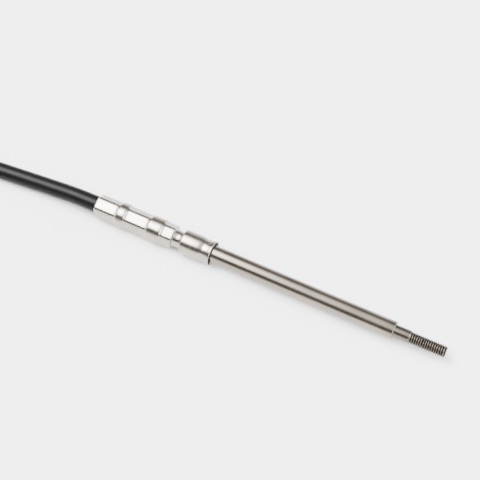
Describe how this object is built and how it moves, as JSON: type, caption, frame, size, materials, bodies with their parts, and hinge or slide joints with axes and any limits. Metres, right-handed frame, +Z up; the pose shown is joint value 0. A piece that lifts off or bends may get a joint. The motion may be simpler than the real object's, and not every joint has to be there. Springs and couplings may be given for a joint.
{
  "type": "boat steering cable",
  "caption": "Push-pull boat steering cable: black conduit crimped into a grooved steel hub, with a swivelling support tube and a threaded push rod, spare length coiled.",
  "frame": {"origin": "on the floor, below the middle of the near end's hub, tube and rod", "axes": "+X along the near end's axis towards its rod tip, +Z up"},
  "size_m": [0.6627, 0.1364, 0.025],
  "materials": {
    "hub": "plated, satin",
    "tube": "ground stainless",
    "rod": "ground, rolled thread",
    "jacket": "extruded, satin",
    "tie": "natural nylon"
  },
  "bodies": {
    "root": {"near_crimp_hub": "hub", "conduit_run": "jacket", "conduit_coil": "jacket", "conduit_tail": "jacket", "coil_tie_1": "tie", "coil_tie_2": "tie", "coil_tie_3": "tie", "far_crimp_hub": "hub"},
    "near_swivel": {"near_support_tube": "tube"},
    "near_ram": {"near_push_rod": "rod"},
    "far_swivel": {"far_support_tube": "tube"},
    "far_ram": {"far_push_rod": "rod"}
  },
  "joints": [
    {"name": "near_tube_swivel", "type": "hinge", "parent": "root", "child": "near_swivel", "pos_m": [-0.04665, 0, 0.0082], "axis": [0, 0, 1], "range_deg": [-8, 8]},
    {"name": "near_rod_slide", "type": "slide", "parent": "near_swivel", "child": "near_ram", "axis": [1, 0, 0], "range_m": [0, 0.0762]},
    {"name": "far_tube_swivel", "type": "hinge", "parent": "root", "child": "far_swivel", "pos_m": [-0.366, -0.12, 0.0082], "axis": [0, 0, 1], "range_deg": [-8, 8]},
    {"name": "far_rod_slide", "type": "slide", "parent": "far_swivel", "child": "far_ram", "axis": [1, 0, 0], "range_m": [-0.0762, 0]}
  ],
  "couplings": [
    {"joint": "far_rod_slide", "follows": "near_rod_slide", "ratio": -1}
  ]
}
